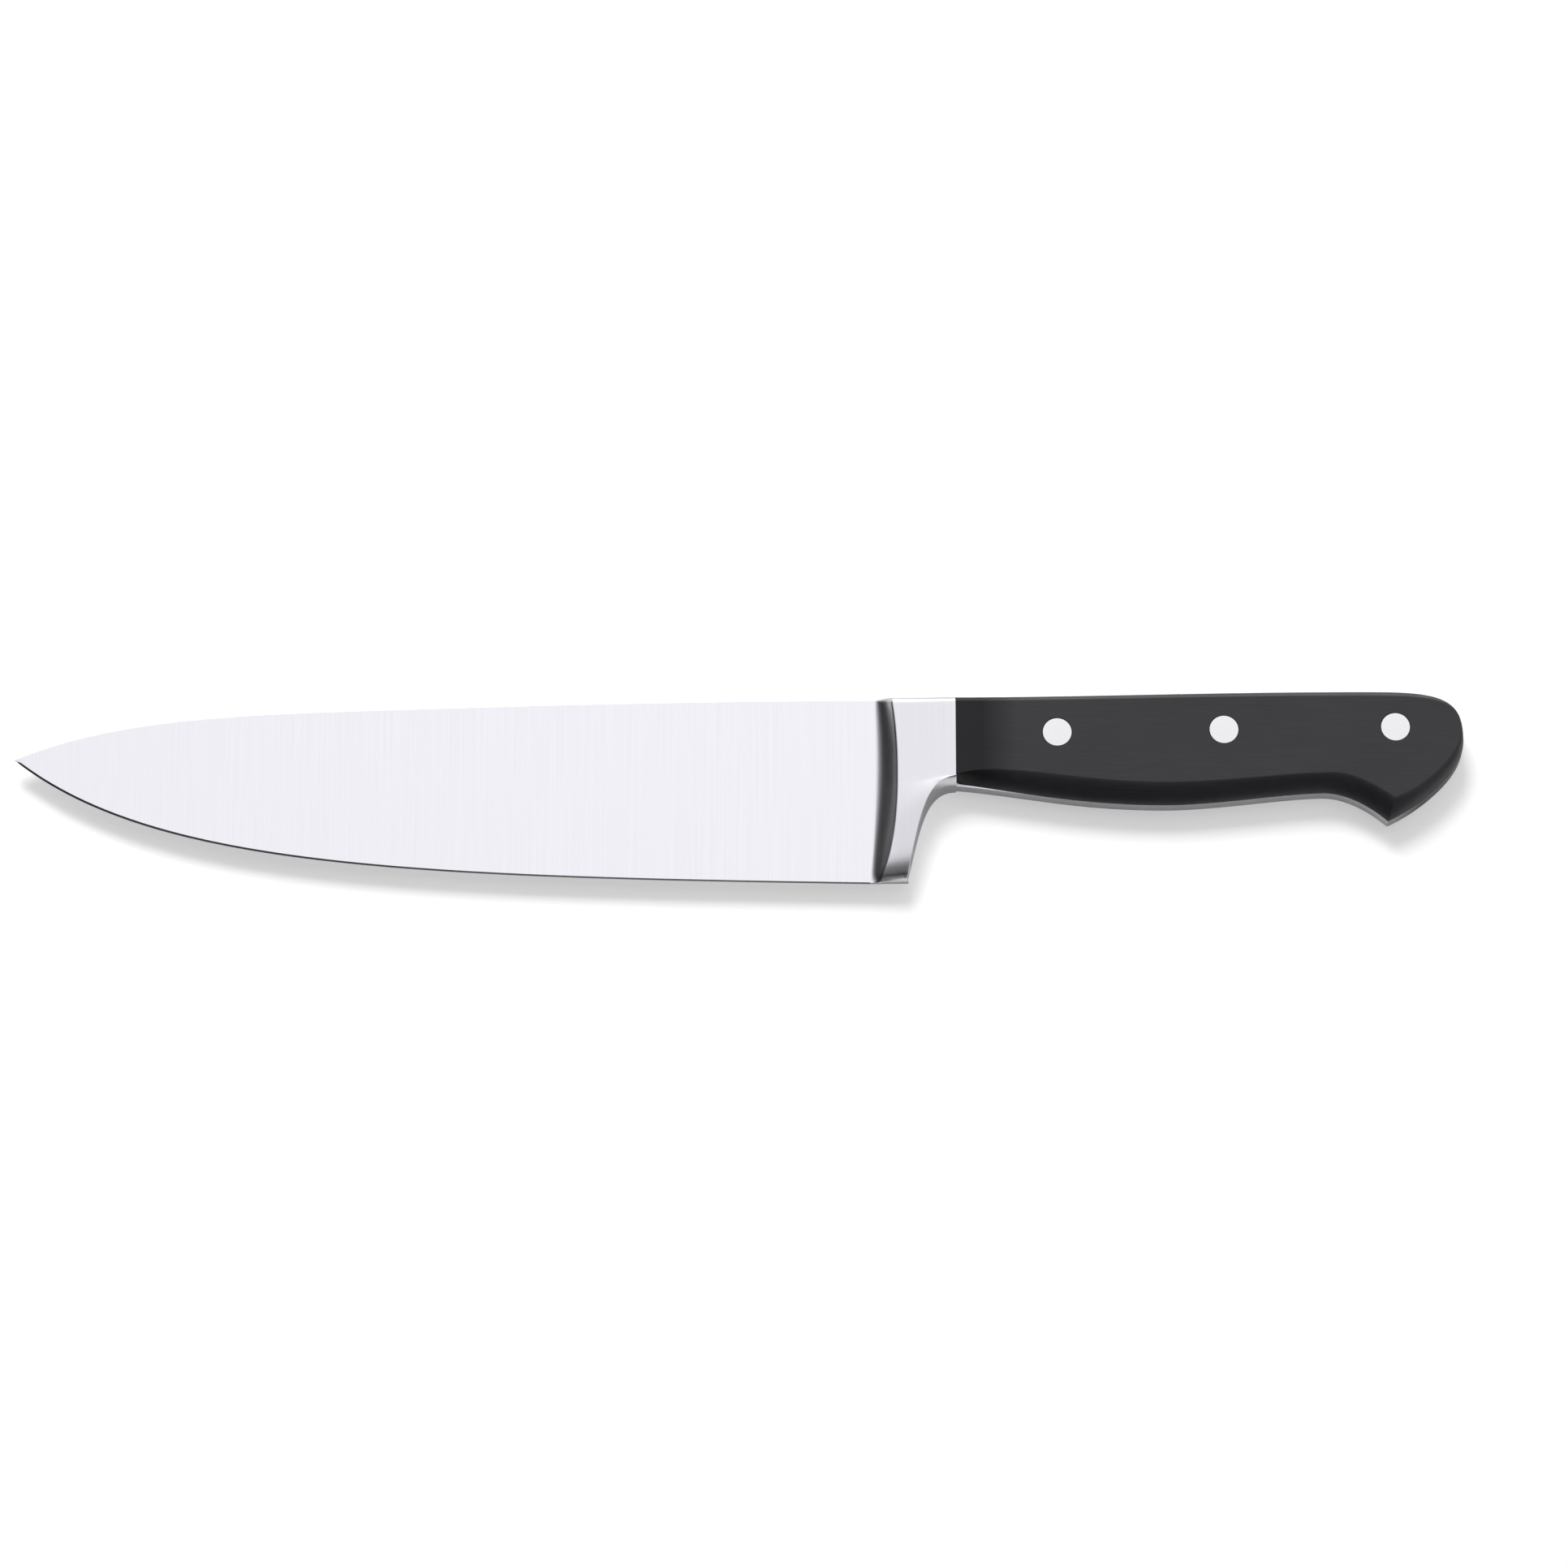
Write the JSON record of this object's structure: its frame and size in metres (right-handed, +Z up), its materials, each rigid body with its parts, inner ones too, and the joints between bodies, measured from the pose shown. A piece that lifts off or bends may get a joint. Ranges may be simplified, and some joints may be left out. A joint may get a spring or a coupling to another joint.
{
  "type": "chef knife",
  "caption": "Forged chef knife with a tapered blade, a full bolster with finger guard, and black scales riveted to a full tang with a hooked butt.",
  "frame": {"origin": "middle of the knife's box, on the plane that the right scale rests on", "axes": "the knife lies on its right side: +X from the tip to the butt, +Y from the edge to the spine, +Z up through the thickness"},
  "size_m": [0.3348, 0.0458, 0.0115],
  "materials": {
    "blade_steel": "satin",
    "scale_plastic": "matte",
    "rivet_metal": "satin"
  },
  "bodies": {
    "root": {"blade": "blade_steel", "left_scale": "scale_plastic", "right_scale": "scale_plastic", "front_rivet_socket": "rivet_metal", "front_rivet_pin": "rivet_metal", "middle_rivet_socket": "rivet_metal", "middle_rivet_pin": "rivet_metal", "rear_rivet_socket": "rivet_metal", "rear_rivet_pin": "rivet_metal"}
  },
  "joints": []
}
